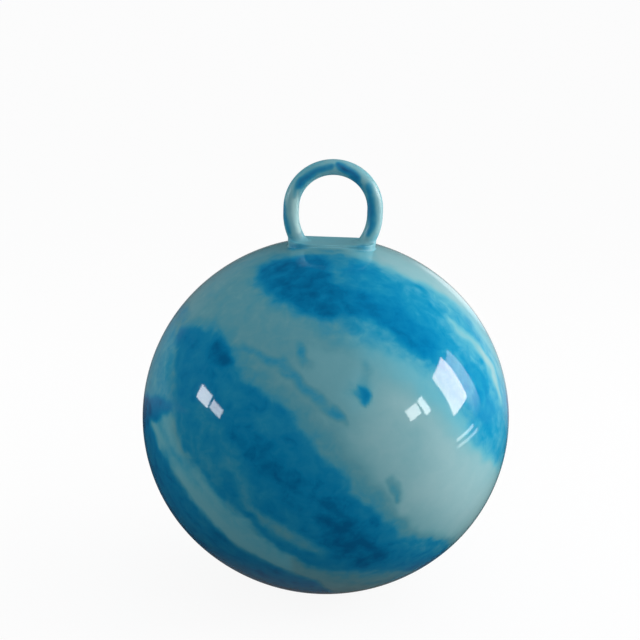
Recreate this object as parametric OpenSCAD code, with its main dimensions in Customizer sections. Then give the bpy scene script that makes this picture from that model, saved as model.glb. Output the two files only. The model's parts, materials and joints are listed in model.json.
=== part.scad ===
// Hopper ball: an inflated soft-PVC ball that a child sits on and bounces.
// A hollow ring handle stands on a raised saddle at the top, and its air joins the ball's air.
// A push-in stopper closes the valve seat on the upper back.
// Frame: +Z up, origin on the floor under the ball's centre, ring in the XZ plane, valve towards +Y.

/* [Ball] */
// Width of the inflated ball at its equator
ball_width = 450; // [400:1:520]
// How far the half below the equator falls short of a half ball
settle_below = 8.6; // [5:0.1:14]
// How far the half above the equator falls short of a half ball
settle_above = 3.8; // [2:0.1:9]
// Width of the flat patch where the ball meets the floor
contact_width = 60; // [50:1:80]
// Thickness of the inflated skin
skin_wall = 1; // [0.8:0.1:2.5]

/* [Ring handle] */
// Outer width of the ring
ring_width = 120; // [112:1:132]
// Height of the ring above the saddle
ring_height = 100.5; // [96:0.5:120]
// Diameter of the ring's tube
tube_width = 19; // [16:0.1:22]
// Wall of the ring's tube
tube_wall = 2.4; // [1.6:0.1:4]
// Upright stretch at each side of the ring, below the half circle
upright_len = 7.3; // [4:0.1:12]
// Radius of the arc that each leg follows down to the saddle
leg_r = 62.5; // [54:0.5:80]
// How far the collar round each foot stands out from the tube, on the saddle
collar_proud = 0.7; // [0.4:0.1:4]
// Height of the collar round each foot
collar_height = 6; // [4:0.5:9]

/* [Saddle] */
// Depth of the saddle from front to back
saddle_depth = 48; // [40:1:60]
// Height of the saddle's flat top above the ball's pole
saddle_rise = 1.6; // [1:0.1:4]
// Flat margin of the saddle outside the feet
saddle_margin = 0.5; // [0.3:0.1:6]
// Radius of the saddle's corners, seen from above
saddle_corner_r = 21; // [8:0.5:22]
// Rounding of the saddle's upper edge
saddle_edge_r = 1.5; // [1:0.1:2.4]

/* [Valve] */
// Angle of the valve from the top of the ball, towards the back
valve_angle = 38; // [32:1:42]
// Diameter of the hole that the stopper closes
valve_bore = 9.6; // [8:0.1:11]
// Diameter of the seat's rim in the skin
seat_rim = 24; // [22:0.5:30]
// Diameter of the seat's flange inside the skin
seat_flange = 40; // [34:1:50]
// Thickness of the seat's flange
flange_wall = 3; // [2.6:0.1:4]
// Outer diameter of the seat's socket
socket_width = 16; // [14:0.5:18]
// Length of the seat's socket inside the flange
socket_len = 20; // [16:0.5:28]
// Diameter of the stopper's head
head_width = 18; // [16:0.5:20]
// Thickness of the stopper's head
head_wall = 2.6; // [2:0.1:4]
// Depth of the recess that the head sits in
head_recess = 1.8; // [1.2:0.1:2.2]
// Length of the stopper's shank
shank_len = 19; // [14:0.5:26]
// Number of sealing ribs on the shank
rib_count = 3; // [2:1:4]

/* [Hidden] */
$fn = 64;
ball_fn = 240;

// Cuts run past the faces that they open by this much
overrun = 1;

// The ball's outline: a band arc at the equator and a cap arc at each pole, tangent at this angle
blend_angle = 45;
blend_share = 1 + tan(blend_angle) - 1 / cos(blend_angle);
ball_r = ball_width / 2;
function band_shift(settle) = settle / blend_share;
function band_r(settle) = ball_r - band_shift(settle);
function cap_shift(settle) = band_shift(settle) * tan(blend_angle);
function cap_r(settle) = ball_r - settle + cap_shift(settle);

// Heights above the floor
contact_r = contact_width / 2;
equator_z = sqrt(pow(cap_r(settle_below), 2) - pow(contact_r, 2)) - cap_shift(settle_below);
pole_z = equator_z + ball_r - settle_above;
saddle_z = pole_z + saddle_rise;

// The ring's centre line: a half circle, uprights and leg arcs down to the saddle and some degrees past it
tube_r = tube_width / 2;
bore_r = tube_r - tube_wall;
bend_r = ring_width / 2 - tube_r;
bend_z = saddle_z + ring_height - ring_width / 2;
leg_drop = ring_height - ring_width / 2 - upright_len;
leg_lean = asin(leg_drop / leg_r);
leg_past = 12;
leg_sweep = leg_lean + leg_past;
foot_x = bend_r - leg_r * (1 - cos(leg_lean));

// The collar stands a little outside the foot, because the leg leans
foot_r = tube_r / cos(leg_lean);
collar_shift = (foot_r - tube_r) / 2;
collar_r = foot_r - collar_shift + collar_proud;
collar_top_r = collar_r / 2;
collar_x = foot_x + collar_shift;

// The saddle reaches past the feet
saddle_length = 2 * (collar_x + collar_r + saddle_margin + saddle_edge_r);
saddle_corner = min(saddle_corner_r, saddle_depth / 2 - overrun);
saddle_drop = cap_r(settle_above) - sqrt(pow(cap_r(settle_above), 2) - pow(saddle_length / 2, 2)
    - pow(saddle_depth / 2, 2));
saddle_height = saddle_rise + saddle_drop + overrun;

// The valve's axis passes through the centre of the upper cap arc, so it is square to the skin
valve_centre_z = equator_z - cap_shift(settle_above);
skin_out = cap_r(settle_above);
skin_in = skin_out - skin_wall;
recess_floor = skin_out - head_recess;
socket_end = skin_in - flange_wall - socket_len;

// Fits of the stopper
bore_gap = 0.05;
head_gap = 0.4;
seat_gap = 0.05;
plug_floor = recess_floor + seat_gap;
rib_r = valve_bore / 2 - bore_gap;
rib_height = 0.35;
rib_width = 1.6;
shank_r = rib_r - rib_height;
tip_len = 2.4;
tip_draw = 1.2;
core_r_share = 0.55;
core_depth_share = 0.7;
head_edge_r = 1;

// A slice of a disc between two angles of less than a right angle
module sector(r, from, to) {
    far = 2 * r;
    intersection() {
        circle(r);
        polygon([[0, 0], far * [cos(from), sin(from)], far * [cos(to), sin(to)]]);
    }
}

// Half of the ball's section above its equator, drawn in from the skin's outside by inset
module half_section(settle, inset) {
    translate([band_shift(settle), 0]) sector(band_r(settle) - inset, 0, blend_angle);
    translate([0, -cap_shift(settle)]) sector(cap_r(settle) - inset, blend_angle, 90);
}

// The ball's whole half section, flat where it stands on the floor
module ball_section(inset) {
    intersection() {
        union() {
            half_section(settle_above, inset);
            mirror([0, 1]) half_section(settle_below, inset);
        }
        translate([0, inset - equator_z]) square([ball_width, 2 * ball_width]);
    }
}

module ball_form() {
    translate([0, 0, equator_z]) rotate_extrude($fn = ball_fn) ball_section(0);
}

module at_valve() {
    translate([0, 0, valve_centre_z]) rotate([-valve_angle, 0, 0]) children();
}

module both_sides() {
    children();
    mirror([1, 0, 0]) children();
}

module front_and_back() {
    children();
    mirror([0, 1, 0]) children();
}

// Upright passages that join the ring's air to the ball's air
module air_passages() {
    both_sides()
        translate([foot_x, 0, saddle_z - saddle_height - skin_wall - saddle_drop])
            cylinder(r = bore_r, h = saddle_height + skin_wall + saddle_drop + overrun);
}

// The moulded skin of the ball
module ball_skin() color([0.36, 0.66, 0.76])
    difference() {
        translate([0, 0, equator_z]) rotate_extrude($fn = ball_fn) difference() {
            ball_section(0);
            ball_section(skin_wall);
        }
        air_passages();
        at_valve() translate([0, 0, socket_end]) cylinder(d = seat_rim, h = skin_out - socket_end + overrun);
    }

// Section of the saddle's rim: upright outside, rounded at the top
module rim_section(reach) {
    inner = reach - saddle_edge_r;
    square([inner, saddle_height]);
    translate([inner, 0]) square([saddle_edge_r, saddle_height - saddle_edge_r]);
    translate([inner, saddle_height - saddle_edge_r]) sector(saddle_edge_r, 0, 90);
}

// A flat pad with round corners, its upper edge rounded all the way round
module pad() {
    half_x = saddle_length / 2 - saddle_corner;
    half_y = saddle_depth / 2 - saddle_corner;
    translate([-half_x, -half_y, 0]) cube([2 * half_x, 2 * half_y, saddle_height]);
    both_sides() {
        translate([half_x, half_y, 0]) rotate([90, 0, 0]) linear_extrude(2 * half_y) rim_section(saddle_corner);
        front_and_back() translate([half_x, half_y, 0]) rotate_extrude(angle = 90) rim_section(saddle_corner);
    }
    front_and_back()
        translate([-half_x, half_y, 0]) rotate([90, 0, 90]) linear_extrude(2 * half_x) rim_section(saddle_corner);
}

// The raised flat pad that the ring stands on, seated on the ball
module handle_saddle() color([0.45, 0.70, 0.76])
    difference() {
        translate([0, 0, saddle_z - saddle_height]) pad();
        ball_form();
        air_passages();
    }

// A round bar along the ring's centre line, past its feet, seen from the centre of the half circle
module ring_bar(r) {
    rotate([90, 0, 0]) rotate_extrude(angle = 180) translate([bend_r, 0]) circle(r);
    leg_bar(r);
    mirror([1, 0, 0]) leg_bar(r);
}

// One side of the bar below the half circle: an upright and a leg
module leg_bar(r) {
    translate([0, 0, -upright_len]) {
        translate([bend_r, 0, 0]) cylinder(r = r, h = upright_len);
        translate([bend_r - leg_r, 0, 0]) rotate([90, 0, 0])
            rotate_extrude(angle = leg_sweep, start = -leg_sweep) translate([leg_r, 0]) circle(r);
    }
}

// A collar round the foot of a leg
module collar() {
    translate([collar_x, 0, -upright_len - leg_drop]) cylinder(r1 = collar_r, r2 = collar_top_r, h = collar_height);
}

// The hollow ring that the rider holds
module handle_ring() color([0.30, 0.60, 0.70])
    translate([0, 0, bend_z]) difference() {
        union() {
            ring_bar(tube_r);
            collar();
            mirror([1, 0, 0]) collar();
        }
        ring_bar(bore_r);
        translate([-ring_width, -ring_width, -upright_len - leg_drop - ring_height])
            cube([2 * ring_width, 2 * ring_width, ring_height]);
    }

// Section of the soft seat: a flange under the skin, a rim flush with it and a socket inside
module seat_section() {
    difference() {
        union() {
            intersection() {
                difference() {
                    circle(skin_in);
                    circle(skin_in - flange_wall);
                }
                translate([0, socket_end]) square([seat_flange / 2, skin_out]);
            }
            intersection() {
                circle(skin_out);
                translate([0, skin_in - flange_wall]) square([seat_rim / 2, skin_out]);
            }
            translate([0, socket_end]) square([socket_width / 2, socket_len + flange_wall]);
        }
        translate([0, socket_end - overrun]) square([valve_bore / 2, skin_out]);
        translate([0, recess_floor]) square([head_width / 2 + head_gap, skin_out]);
    }
}

module valve_seat() color([0.86, 0.90, 0.90])
    at_valve() rotate_extrude() seat_section();

// Section of the stopper: head, ribbed shank, drawn-in tip and a hollow core
module plug_section() {
    head_r = head_width / 2;
    pitch = (shank_len - tip_len) / (rib_count + 1);
    difference() {
        union() {
            translate([0, plug_floor]) square([head_r, head_wall - head_edge_r]);
            translate([0, plug_floor]) square([head_r - head_edge_r, head_wall]);
            translate([head_r - head_edge_r, plug_floor + head_wall - head_edge_r]) sector(head_edge_r, 0, 90);
            translate([0, plug_floor - shank_len + tip_len]) square([shank_r, shank_len - tip_len]);
            polygon([
                [0, plug_floor - shank_len], [shank_r - tip_draw, plug_floor - shank_len],
                [shank_r, plug_floor - shank_len + tip_len], [0, plug_floor - shank_len + tip_len]
            ]);
            for (i = [1 : rib_count])
                translate([0, plug_floor - i * pitch - rib_width / 2]) square([rib_r, rib_width]);
        }
        translate([0, plug_floor - shank_len - overrun])
            square([core_r_share * shank_r, core_depth_share * shank_len + overrun]);
    }
}

// The push-in stopper
module valve_plug() color("white")
    at_valve() rotate_extrude() plug_section();

ball_skin();
handle_saddle();
handle_ring();
valve_seat();
valve_plug();
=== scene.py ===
"""Looks of an inflated hopper ball: its marbled skin, ring handle, saddle, valve seat and stopper."""
import json
import math

import bmesh
import bpy
import numpy as np
from mathutils import Matrix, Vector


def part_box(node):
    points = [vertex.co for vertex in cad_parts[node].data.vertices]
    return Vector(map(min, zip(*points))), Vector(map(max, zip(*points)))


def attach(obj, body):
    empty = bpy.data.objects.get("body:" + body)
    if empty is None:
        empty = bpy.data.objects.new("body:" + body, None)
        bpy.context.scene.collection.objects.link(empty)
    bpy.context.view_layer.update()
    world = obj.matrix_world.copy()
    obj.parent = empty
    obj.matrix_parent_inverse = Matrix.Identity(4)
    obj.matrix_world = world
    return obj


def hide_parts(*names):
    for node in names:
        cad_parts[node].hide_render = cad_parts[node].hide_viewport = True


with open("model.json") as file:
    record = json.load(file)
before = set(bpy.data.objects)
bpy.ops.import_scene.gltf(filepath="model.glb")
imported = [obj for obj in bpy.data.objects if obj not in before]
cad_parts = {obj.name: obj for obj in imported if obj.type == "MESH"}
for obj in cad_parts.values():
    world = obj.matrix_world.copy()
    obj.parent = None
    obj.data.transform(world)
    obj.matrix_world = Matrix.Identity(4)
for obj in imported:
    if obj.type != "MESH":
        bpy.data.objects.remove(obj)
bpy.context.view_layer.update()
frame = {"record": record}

# Sizes of the solids, in metres, read from the frame where a box shows them
ball_low, ball_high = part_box("ball_skin")
_, ring_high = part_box("handle_ring")
_, saddle_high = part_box("handle_saddle")

# The ball: a band arc at the equator and a cap arc at each pole, tangent at 45 degrees
BALL_R = (ball_high[0] - ball_low[0]) / 2
SETTLE_BELOW = 0.0086
SETTLE_ABOVE = 0.0038
BLEND_SHARE = 2 - math.sqrt(2)
EQUATOR_Z = ball_high[2] - BALL_R + SETTLE_ABOVE
BALL_CENTRE = np.array([0.0, 0.0, EQUATOR_Z])

# The saddle: a flat pad with round corners that melts into the ball, drawn a little tighter than its solid
SADDLE_TIGHTER_X = 0.0025
SADDLE_TIGHTER_Y = 0.002
SADDLE_Z = saddle_high[2]
SADDLE_HALF_X = saddle_high[0] - SADDLE_TIGHTER_X
SADDLE_HALF_Y = saddle_high[1] - SADDLE_TIGHTER_Y
SADDLE_CORNER = 0.021
SADDLE_EDGE = 0.0012
SADDLE_FILLET = 0.0015

# The ring's centre line: a half circle, uprights and leg arcs down to the saddle
TUBE_R = 0.0095
BEND_R = ring_high[0] - TUBE_R
BEND_Z = ring_high[2] - ring_high[0]
LEG_R = 0.0625
LEG_X = BEND_R - LEG_R
UPRIGHT = 0.0073
LEG_Z = BEND_Z - UPRIGHT
FOOT_FILLET = 0.005

# The valve: its axis passes through the centre of the upper cap arc
VALVE_AXIS = np.array(frame["record"]["behaviour"]["joints"][0]["axis"])
SKIN_R = BALL_R - SETTLE_ABOVE + SETTLE_ABOVE / BLEND_SHARE
VALVE_CENTRE = BALL_CENTRE - np.array([0.0, 0.0, SETTLE_ABOVE / BLEND_SHARE])
RIM_R = 0.012

# The photograph's frame, in pixels, and where the ball lies in it
IMAGE = 640
BALL_X_PX = 325.7
BALL_Y_PX = 416.5
BALL_HALF_PX = 183.0
PIXEL = BALL_R / BALL_HALF_PX

# The camera: how far it stands from the ball, how far it looks down, and its small roll
CAMERA_DISTANCE = 3.0
CAMERA_LOOKS_DOWN = math.radians(15.6)
CAMERA_ROLL = math.radians(2.0)
SENSOR_WIDTH = 36.0
FOCAL_PX = BALL_HALF_PX * math.sqrt(CAMERA_DISTANCE ** 2 - BALL_R ** 2) / BALL_R


# The camera's axes in the object's frame

def camera_axes():
    """Right, up and backward directions of the camera."""
    right = np.array([1.0, 0.0, 0.0])
    up = np.array([0.0, math.sin(CAMERA_LOOKS_DOWN), math.cos(CAMERA_LOOKS_DOWN)])
    back = np.array([0.0, -math.cos(CAMERA_LOOKS_DOWN), math.sin(CAMERA_LOOKS_DOWN)])
    rolled_right = math.cos(CAMERA_ROLL) * right + math.sin(CAMERA_ROLL) * up
    rolled_up = math.cos(CAMERA_ROLL) * up - math.sin(CAMERA_ROLL) * right
    return rolled_right, rolled_up, back


RIGHT, UP, BACK = camera_axes()


def pixel_ray(x, y):
    """Direction from the camera through a pixel of the photograph."""
    ray = (x - IMAGE / 2) * RIGHT + (IMAGE / 2 - y) * UP - FOCAL_PX * BACK
    return ray / np.linalg.norm(ray)


# The camera stands where the ball's centre falls on its pixel
CAMERA = BALL_CENTRE - pixel_ray(BALL_X_PX, BALL_Y_PX) * CAMERA_DISTANCE
TO_CAMERA = (CAMERA - BALL_CENTRE) / np.linalg.norm(CAMERA - BALL_CENTRE)


# Distances to the forms; each takes rows of points

def ball_distance(p):
    """Signed distance to the ball's skin, without the flat patch at its foot."""
    rho = np.hypot(p[:, 0], p[:, 1])
    height = p[:, 2] - EQUATOR_Z
    settle = np.where(height > 0, SETTLE_ABOVE, SETTLE_BELOW)
    shift = settle / BLEND_SHARE
    rise = np.abs(height)
    band = np.hypot(rho - shift, rise) - (BALL_R - shift)
    cap = np.hypot(rho, rise + shift) - (BALL_R - settle + shift)
    return np.where(rise < rho - shift, band, cap)


def ring_distance(p):
    """Signed distance to the ring's tube."""
    x = np.abs(p[:, 0])
    z = p[:, 2]
    bend = np.hypot(x, z - BEND_Z) - BEND_R
    upright = x - BEND_R
    leg = np.hypot(x - LEG_X, z - LEG_Z) - LEG_R
    across = np.where(z > BEND_Z, bend, np.where(z > LEG_Z, upright, leg))
    return np.hypot(across, p[:, 1]) - TUBE_R


def saddle_distance(p):
    """Signed distance to the saddle's pad, which reaches down into the ball."""
    corner_x = np.abs(p[:, 0]) - (SADDLE_HALF_X - SADDLE_CORNER)
    corner_y = np.abs(p[:, 1]) - (SADDLE_HALF_Y - SADDLE_CORNER)
    outside = np.hypot(np.maximum(corner_x, 0), np.maximum(corner_y, 0))
    plan = outside + np.minimum(np.maximum(corner_x, corner_y), 0) - SADDLE_CORNER
    side = plan + SADDLE_EDGE
    top = p[:, 2] - SADDLE_Z + SADDLE_EDGE
    rounded = np.hypot(np.maximum(side, 0), np.maximum(top, 0)) + np.minimum(np.maximum(side, top), 0)
    return rounded - SADDLE_EDGE


def melt(a, b, reach):
    """The union of two distances, with a fillet of about that reach where they meet."""
    share = np.clip(reach - np.abs(a - b), 0, None) / reach
    return np.minimum(a, b) - share ** 2 * reach / 4


def handle_distance(p):
    """The saddle and the ring, melted into the ball."""
    base = melt(saddle_distance(p), ball_distance(p), SADDLE_FILLET)
    return melt(base, ring_distance(p), FOOT_FILLET)


def slope(distance, p, step=2e-5):
    """Direction in which a distance grows, by small steps along each axis."""
    steps = np.eye(3) * step
    return np.stack([distance(p + s) - distance(p - s) for s in steps], axis=1) / (2 * step)


def settle_on(distance, p, rounds=6):
    """Moves points along the slope until they lie on the zero of a distance."""
    for _ in range(rounds):
        g = slope(distance, p)
        p = p - g * (distance(p) / (g * g).sum(axis=1))[:, None]
    return p


def unit(v):
    return v / np.linalg.norm(v, axis=-1, keepdims=True)


# Meshes

def make_mesh(name, verts, faces, normals=None):
    """A smooth mesh object from rows of points and faces."""
    mesh = bpy.data.meshes.new(name)
    mesh.from_pydata(np.asarray(verts).tolist(), [], [list(map(int, f)) for f in faces])
    mesh.validate()
    mesh.polygons.foreach_set("use_smooth", [True] * len(mesh.polygons))
    if normals is not None:
        mesh.normals_split_custom_set_from_vertices(np.asarray(normals).tolist())
    mesh.update()
    made = bpy.data.objects.new(name, mesh)
    bpy.context.scene.collection.objects.link(made)
    return made


def mesh_points(piece):
    """A mesh's corners as rows of points."""
    flat = np.empty(3 * len(piece.data.vertices))
    piece.data.vertices.foreach_get("co", flat)
    return flat.reshape(-1, 3)


def round_valve(count):
    """Directions square to the valve's axis, evenly round it."""
    first = np.array([1.0, 0.0, 0.0])
    second = np.cross(VALVE_AXIS, first)
    turn = np.linspace(0, 2 * math.pi, count, endpoint=False)
    return np.cos(turn)[:, None] * first + np.sin(turn)[:, None] * second


# The ball's grid: rows of rings about the valve's axis, and the steps that bring them onto the skin
BALL_ROWS = 224
BALL_COLUMNS = 440
BALL_STEPS = 12
# The skin's edge round the valve seat turns in: how far each ring lies outside the rim, and how deep
LIP = [(0.0, 0.0008), (0.00005, 0.0004), (0.00025, 0.00012), (0.0006, 0.00002)]
LIP_END = 0.0012
# Corners of a cell of a grid
CELL = list(np.ndindex(2, 2, 2))


def build_ball():
    """The ball's skin, flat where it stands, with a turned-in edge round the valve seat."""
    start = math.asin((RIM_R + LIP_END) / SKIN_R)
    polar = [math.asin((RIM_R + out) / SKIN_R) for out, _ in LIP]
    polar += list(np.linspace(start, math.pi, BALL_ROWS)[:-1])
    depth = [d for _, d in LIP] + [0.0] * (BALL_ROWS - 1)
    around = round_valve(BALL_COLUMNS)
    rays = [math.cos(a) * VALVE_AXIS + math.sin(a) * around for a in polar]
    rays = np.vstack(rays + [-VALVE_AXIS[None, :]])
    inward = np.append(np.repeat(depth, BALL_COLUMNS), 0.0)
    reach = np.full(len(rays), BALL_R)
    for _ in range(BALL_STEPS):
        reach -= ball_distance(VALVE_CENTRE + reach[:, None] * rays)
    verts = VALVE_CENTRE + (reach - inward)[:, None] * rays
    normals = unit(slope(ball_distance, verts))
    flat = verts[:, 2] < 0
    verts[flat] = VALVE_CENTRE + rays[flat] * (-VALVE_CENTRE[2] / rays[flat, 2])[:, None]
    normals[flat] = (0, 0, -1)
    index = np.arange(len(polar) * BALL_COLUMNS).reshape(len(polar), BALL_COLUMNS)
    after = np.roll(index, -1, axis=1)
    quads = np.stack([index[:-1], index[1:], after[1:], after[:-1]], axis=-1).reshape(-1, 4)
    last = len(verts) - 1
    fan = np.stack([index[-1], np.full(BALL_COLUMNS, last), after[-1]], axis=-1)
    return make_mesh("ball_skin_marbled", verts, [*quads, *fan], normals)


def contour(distance, low, high, step):
    """Quads along the zero of a distance, with one corner in each cell that it crosses."""
    counts = np.ceil((np.array(high) - low) / step).astype(int) + 1
    axes = [low[k] + step * np.arange(counts[k]) for k in range(3)]
    grid = np.stack(np.meshgrid(*axes, indexing="ij"), axis=-1).reshape(-1, 3)
    inside = (distance(grid) < 0).reshape(counts)
    cells = counts - 1
    filled = np.zeros(cells, int)
    for i, j, k in CELL:
        filled += inside[i:i + cells[0], j:j + cells[1], k:k + cells[2]]
    crossed = (filled > 0) & (filled < len(CELL))
    number = np.full(cells, -1)
    number[crossed] = np.arange(crossed.sum())
    verts = settle_on(distance, np.argwhere(crossed) * step + np.array(low) + step / 2)
    quads = []
    for axis in range(3):
        b, c = (axis + 1) % 3, (axis + 2) % 3
        here = np.take(inside, range(cells[axis]), axis)
        there = np.take(inside, range(1, counts[axis]), axis)
        edges = np.argwhere(here != there)
        aside = edges[:, [b, c]]
        edges = edges[((aside > 0) & (aside < cells[[b, c]])).all(axis=1)]
        corners = []
        for back_b, back_c in ((1, 1), (0, 1), (0, 0), (1, 0)):
            cell = edges.copy()
            cell[:, b] -= back_b
            cell[:, c] -= back_c
            corners.append(number[tuple(cell.T)])
        quad = np.stack(corners, axis=1)
        turned = ~inside[tuple(edges.T)]
        quad[turned] = quad[turned][:, ::-1]
        quads.append(quad)
    return verts, np.vstack(quads)


# The box in which the handle's form is traced, and the size of its cells
HANDLE_STEP = 0.00125
HANDLE_LOW = (-0.0725, -0.0345, 0.415)
HANDLE_HIGH = (0.0725, 0.0345, 0.5475)
# The height where the ring's piece ends and the saddle's begins
FOOT_RISE = 0.0028
FOOT_CUT_Z = SADDLE_Z + FOOT_RISE
# Where the saddle rises less than this above the ball, the ball itself shows
LEAST_RISE = 0.00002
# How deep the saddle's border and its underside lie in the ball
TUCK = 0.0001
SADDLE_UNDERSIDE = 0.0006


def cut_at(verts, quads, height, above):
    """The part of a mesh on one side of a level plane."""
    bm = bmesh.new()
    corners = [bm.verts.new(v) for v in verts]
    for q in quads:
        bm.faces.new([corners[i] for i in q])
    everything = bm.verts[:] + bm.edges[:] + bm.faces[:]
    bmesh.ops.bisect_plane(bm, geom=everything, plane_co=(0, 0, height), plane_no=(0, 0, 1),
                           clear_inner=above, clear_outer=not above)
    bmesh.ops.delete(bm, geom=[v for v in bm.verts if not v.link_faces], context="VERTS")
    bm.verts.index_update()
    points = np.array([v.co[:] for v in bm.verts])
    faces = [[v.index for v in f.verts] for f in bm.faces]
    bm.free()
    return points, faces


def open_edges(faces):
    """Directed edges that only one face has."""
    edges = {(f[i - 1], f[i]) for f in faces for i in range(len(f))}
    return [(a, b) for a, b in edges if (b, a) not in edges]


def build_handle():
    """The ring and the saddle, as two pieces of one melted form."""
    verts, quads = contour(handle_distance, HANDLE_LOW, HANDLE_HIGH, HANDLE_STEP)
    rises = ball_distance(verts) > LEAST_RISE
    quads = quads[rises[quads].any(axis=1)]
    return build_ring(verts, quads), build_saddle(verts, quads)


def build_ring(verts, quads):
    """The ring above its feet, each foot closed underneath."""
    points, faces = cut_at(verts, quads, FOOT_CUT_Z, above=True)
    normals = unit(slope(handle_distance, points))
    count = len(points)
    edges = open_edges(faces)
    for side in (-1, 1):
        rim = [e for e in edges if points[e[0], 0] * side > 0]
        middle = points[[a for a, _ in rim]].mean(axis=0)
        faces += [[b, a, count] for a, b in rim]
        points = np.vstack([points, middle])
        normals = np.vstack([normals, (0, 0, -1)])
        count += 1
    return make_mesh("ring_handle_marbled", points, faces, normals)


def build_saddle(verts, quads):
    """The saddle with the flare round each foot, closed underneath just inside the ball."""
    points, faces = cut_at(verts, quads, FOOT_CUT_Z, above=False)
    normals = unit(slope(handle_distance, points))
    inward = unit(slope(ball_distance, points))
    height = ball_distance(points)
    border = height < LEAST_RISE
    points[border] -= inward[border] * (height[border, None] + TUCK)
    under = points - inward * (ball_distance(points)[:, None] + SADDLE_UNDERSIDE)
    count = len(points)
    bottom = [[i + count for i in reversed(f)] for f in faces]
    walls = [[b, a, a + count, b + count] for a, b in open_edges(faces)]
    return make_mesh("handle_saddle_marbled", np.vstack([points, under]), faces + bottom + walls,
                     np.vstack([normals, -inward]))


LATHE_TURNS = 96
SAME_PLACE = 1e-7


def lathe(name, profile):
    """A closed solid of revolution about the valve's axis from (radius, height) corners, in metres."""
    around = round_valve(LATHE_TURNS)
    rows = [VALVE_CENTRE + h * VALVE_AXIS + r * around for r, h in profile]
    index = np.arange(len(profile) * LATHE_TURNS).reshape(len(profile), LATHE_TURNS)
    faces = []
    for row, below in zip(index, np.roll(index, -1, axis=0)):
        faces += [[row[i - 1], below[i - 1], below[i], row[i]] for i in range(LATHE_TURNS)]
    made = make_mesh(name, np.vstack(rows), faces)
    bm = bmesh.new()
    bm.from_mesh(made.data)
    bmesh.ops.remove_doubles(bm, verts=bm.verts, dist=SAME_PLACE)
    bmesh.ops.recalc_face_normals(bm, faces=bm.faces)
    bm.to_mesh(made.data)
    bm.free()
    return made


def arc(centre_r, centre_h, radius, start, end, steps=6):
    """Corners along an arc of a profile, angles in degrees."""
    angles = np.radians(np.linspace(start, end, steps + 1))
    return [(centre_r + radius * math.cos(a), centre_h + radius * math.sin(a)) for a in angles]


def on_sphere(r, reach):
    """Height of a sphere about the valve's centre at a radius from the valve's axis."""
    return math.sqrt(reach ** 2 - r * r)


# The valve seat and the stopper, as in the solids
SKIN_WALL = 0.001
FLANGE_R = 0.020
FLANGE_WALL = 0.003
SOCKET_R = 0.008
SOCKET_LEN = 0.020
BORE_R = 0.0048
RECESS = 0.0018
HEAD_R = 0.009
HEAD_WALL = 0.0026
HEAD_GAP = 0.0004
SEAT_GAP = 0.00005
HEAD_EDGE = 0.001
SHANK_LEN = 0.019
RIB_GAP = 0.00005
RIB_R = BORE_R - RIB_GAP
RIB_HEIGHT = 0.00035
RIB_WIDTH = 0.0016
RIBS = 3
TIP_LEN = 0.0024
TIP_DRAW = 0.0012
# Rounded edges of the seat and the stopper, and the stopper's core as shares of its shank
SEAT_EDGE = 0.0004
SEAT_LIP = 0.0005
FLANGE_STEPS = 8
NECK_EDGE = 0.0003
NECK_STEPS = 3
TIP_EDGE = 0.0004
CORE_SHARE = 0.55
CORE_DEPTH = 0.7
# The dish in the head: its radius as a share, its depth, and its edge by radius and share of the depth
DISH_SHARE = 0.55
DISH_DEPTH = 0.00045
DISH_EDGE = [(-0.0012, 1.0), (-0.0006, 0.8), (0.0, 0.1), (0.0004, 0.0)]
RIB_ARC = np.linspace(-0.8, 0.8, 7)
# The stopper's corners on its axis lie this near to it
AXLE_R = 0.00001


def build_valve_seat():
    """The soft seat: a rim flush with the skin, a recess for the stopper, a flange and a socket inside."""
    edge = SEAT_EDGE
    lip = SEAT_LIP
    recess_r = HEAD_R + HEAD_GAP
    floor = SKIN_R - RECESS
    inside = SKIN_R - SKIN_WALL
    under = inside - FLANGE_WALL
    socket_end = under - SOCKET_LEN
    profile = arc(RIM_R - edge, on_sphere(RIM_R, SKIN_R) - edge, edge, 0, 90)
    profile += arc(recess_r + lip, on_sphere(recess_r, SKIN_R) - lip, lip, 90, 180)
    profile += arc(recess_r - edge, floor + edge, edge, 0, -90)
    profile += arc(BORE_R + edge, floor - edge, edge, 90, 180)
    profile += [(BORE_R, socket_end), (SOCKET_R, socket_end), (SOCKET_R, under - edge)]
    profile += [(r, on_sphere(r, under)) for r in np.linspace(SOCKET_R + edge, FLANGE_R, FLANGE_STEPS)]
    profile += [(r, on_sphere(r, inside)) for r in np.linspace(FLANGE_R, RIM_R, FLANGE_STEPS)]
    return lathe("valve_seat_soft", profile)


def build_stopper():
    """The push-in stopper: a dished round head and a ribbed, hollow shank with a drawn-in tip."""
    floor = SKIN_R - RECESS + SEAT_GAP
    top = floor + HEAD_WALL
    tip = floor - SHANK_LEN
    shank_r = RIB_R - RIB_HEIGHT
    core_r = CORE_SHARE * shank_r
    core_top = tip + CORE_DEPTH * SHANK_LEN
    dish_r = DISH_SHARE * HEAD_R
    half = RIB_WIDTH / 2
    edge = NECK_EDGE
    profile = [(AXLE_R, top - DISH_DEPTH)]
    profile += [(dish_r + out, top - share * DISH_DEPTH) for out, share in DISH_EDGE]
    profile += arc(HEAD_R - HEAD_EDGE, top - HEAD_EDGE, HEAD_EDGE, 90, 0)
    profile += arc(HEAD_R - edge, floor + edge, edge, 0, -90, NECK_STEPS)
    profile += arc(shank_r + edge, floor - edge, edge, 90, 180, NECK_STEPS)
    pitch = (SHANK_LEN - TIP_LEN) / (RIBS + 1)
    for i in range(1, RIBS + 1):
        middle = floor - i * pitch
        profile += [(shank_r, middle + half)]
        profile += [(RIB_R - RIB_HEIGHT * s * s, middle - half * s) for s in RIB_ARC]
        profile += [(shank_r, middle - half)]
    profile += [(shank_r, tip + TIP_LEN), (shank_r - TIP_DRAW, tip)]
    profile += [(core_r + TIP_EDGE, tip), (core_r, tip + TIP_EDGE), (core_r, core_top), (AXLE_R, core_top)]
    return lathe("valve_stopper", profile)


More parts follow.
